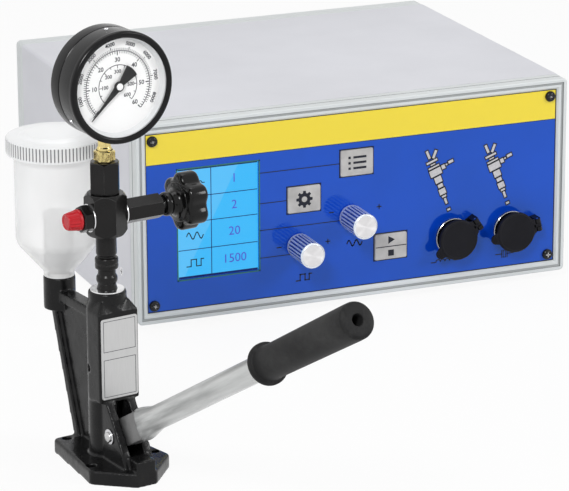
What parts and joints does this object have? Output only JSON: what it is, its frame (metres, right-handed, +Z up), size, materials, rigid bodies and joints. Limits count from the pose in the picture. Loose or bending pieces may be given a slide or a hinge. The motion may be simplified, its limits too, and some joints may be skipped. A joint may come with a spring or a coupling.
{
  "type": "diesel injector tester",
  "caption": "Hand pump with pressure gauge, shut-off valve, clear reservoir and long lever, beside an electronic driver case with display, keys, knobs and injector sockets.",
  "frame": {"origin": "on the bench, under the axis of the pump's column, on the underside of its base", "axes": "+X along the case's front panel to its right, +Y from the fronts to the backs, +Z up"},
  "size_m": [0.5734, 0.9345, 0.3444],
  "materials": {
    "cover_paint": "satin powder coat",
    "bezel_paint": "satin powder coat",
    "tray_steel": "plain zinc",
    "panel_print": "gloss printed film",
    "rear_paint": "satin powder coat",
    "black_screw": "gloss black oxide",
    "bright_screw": "polished",
    "foot_rubber": "matte",
    "window_clear": "clear",
    "display_face": "lit",
    "circuit_board": "solder mask",
    "supply_core": "varnished",
    "knob_aluminium": "knurled and brushed",
    "shaft_steel": "turned",
    "key_plastic": "matte",
    "socket_black": "moulded",
    "cap_plastic": "fine grain",
    "inlet_plastic": "moulded",
    "rocker_plastic": "moulded",
    "pump_enamel": "gloss enamel on a casting",
    "black_steel": "black oxide",
    "turned_steel": "ground",
    "lever_steel": "dull plated",
    "grip_rubber": "matte",
    "washer_metal": "bright",
    "knob_plastic": "moulded",
    "cap_red": "moulded",
    "stem_brass": "machined",
    "gauge_black": "satin",
    "dial_white": "matte print",
    "needle_grey": "satin",
    "reservoir_clear": "clear moulding",
    "lid_plastic": "translucent",
    "strainer_plastic": "white mesh",
    "label_metal": "brushed"
  },
  "bodies": {
    "root": {"top_cover": "cover_paint", "base_tray": "tray_steel", "front_bezel": "bezel_paint", "rear_bezel": "bezel_paint", "front_panel": "panel_print", "rear_panel": "rear_paint", "panel_screws": "black_screw", "cover_screws": "bright_screw", "case_feet": "foot_rubber", "display_module": "display_face", "display_lens": "window_clear", "main_board": "circuit_board", "power_supply": "supply_core", "control_pots": "turned_steel", "key_board": "circuit_board", "solenoid_socket": "socket_black", "piezo_socket": "socket_black", "cap_hinge_pins": "bright_screw", "power_inlet": "inlet_plastic", "pump_body": "pump_enamel", "delivery_holder": "black_steel", "union_nut": "black_steel", "valve_block": "black_steel", "gauge_adapter": "black_steel", "gauge_stem": "stem_brass", "gauge_case": "gauge_black", "gauge_ring": "gauge_black", "gauge_dial": "dial_white", "gauge_lens": "window_clear", "bourdon_tube": "stem_brass", "gauge_screws": "bright_screw", "valve_bonnet": "black_steel", "sealing_washers": "washer_metal", "outlet_fitting": "black_steel", "reservoir": "reservoir_clear", "reservoir_strainer": "strainer_plastic", "pump_barrel": "turned_steel", "plunger_spring": "turned_steel", "lever_pin": "turned_steel", "pin_clips": "bright_screw", "label_plate": "label_metal"},
    "lever": {"lever_head": "lever_steel", "lever_tube": "lever_steel", "lever_grip": "grip_rubber"},
    "plunger": {"plunger": "turned_steel"},
    "valve": {"valve_spindle": "turned_steel", "valve_knob": "knob_plastic"},
    "outlet_cap": {"outlet_cap": "cap_red"},
    "reservoir_lid": {"reservoir_lid": "lid_plastic"},
    "gauge_needle": {"gauge_needle": "needle_grey"},
    "frequency_control": {"frequency_knob": "knob_aluminium", "frequency_shaft": "shaft_steel"},
    "pulse_width_control": {"pulse_width_knob": "knob_aluminium", "pulse_width_shaft": "shaft_steel"},
    "menu_key": {"menu_key": "key_plastic"},
    "work_key": {"work_key": "key_plastic"},
    "start_stop_key": {"start_stop_key": "key_plastic"},
    "solenoid_cap": {"solenoid_cap": "cap_plastic"},
    "piezo_cap": {"piezo_cap": "cap_plastic"},
    "power_rocker": {"power_rocker": "rocker_plastic"}
  },
  "joints": [
    {"name": "lever_pivot", "type": "hinge", "parent": "root", "child": "lever", "pos_m": [0.00382, -0.02167, 0.0315], "axis": [0.9848, 0.1736, 0], "range_deg": [0, 28], "stiffness_Nm_per_rad": 2, "springref_deg": -42.97},
    {"name": "plunger_slide", "type": "slide", "parent": "root", "child": "plunger", "axis": [0, 0, 1], "range_m": [0, 0.0098], "deforming": ["plunger_spring"]},
    {"name": "valve_turn", "type": "hinge", "parent": "root", "child": "valve", "pos_m": [0, 0, 0.198], "axis": [0.9848, 0.1736, 0], "range_deg": [0, 360]},
    {"name": "outlet_cap_pull", "type": "slide", "parent": "root", "child": "outlet_cap", "axis": [-0.9848, -0.1736, 0], "range_m": [0, 0.02]},
    {"name": "lid_lift", "type": "slide", "parent": "root", "child": "reservoir_lid", "axis": [0, 0, 1], "range_m": [0, 0.03]},
    {"name": "needle_sweep", "type": "hinge", "parent": "root", "child": "gauge_needle", "pos_m": [0.00415, -0.02354, 0.302], "axis": [-0.1736, 0.9848, 0], "range_deg": [0, 265], "stiffness_Nm_per_rad": 0.001, "springref_deg": -17.19},
    {"name": "frequency_turn", "type": "hinge", "parent": "root", "child": "frequency_control", "pos_m": [0.31752, 0.2758, 0.0808], "axis": [0, 1, 0], "range_deg": [-135, 135]},
    {"name": "pulse_width_turn", "type": "hinge", "parent": "root", "child": "pulse_width_control", "pos_m": [0.269, 0.2758, 0.06101], "axis": [0, 1, 0], "range_deg": [-135, 135]},
    {"name": "menu_press", "type": "slide", "parent": "root", "child": "menu_key", "axis": [0, 1, 0], "range_m": [0, 0.001], "stiffness_N_per_m": 400, "springref_m": -0.002},
    {"name": "work_press", "type": "slide", "parent": "root", "child": "work_key", "axis": [0, 1, 0], "range_m": [0, 0.001], "stiffness_N_per_m": 400, "springref_m": -0.002},
    {"name": "start_stop_press", "type": "slide", "parent": "root", "child": "start_stop_key", "axis": [0, 1, 0], "range_m": [0, 0.001], "stiffness_N_per_m": 400, "springref_m": -0.002},
    {"name": "solenoid_cap_hinge", "type": "hinge", "parent": "root", "child": "solenoid_cap", "pos_m": [0.43387, 0.2655, 0.06325], "axis": [-0.5446, 0, 0.8387], "range_deg": [0, 110]},
    {"name": "piezo_cap_hinge", "type": "hinge", "parent": "root", "child": "piezo_cap", "pos_m": [0.49249, 0.2655, 0.05568], "axis": [-0.2079, 0, 0.9781], "range_deg": [0, 110]},
    {"name": "rocker_tilt", "type": "hinge", "parent": "root", "child": "power_rocker", "pos_m": [0.458, 0.5887, 0.09925], "axis": [1, 0, 0], "range_deg": [0, 14]}
  ],
  "couplings": [
    {"joint": "plunger_slide", "follows": "lever_pivot", "m_per_rad": 0.019802}
  ]
}
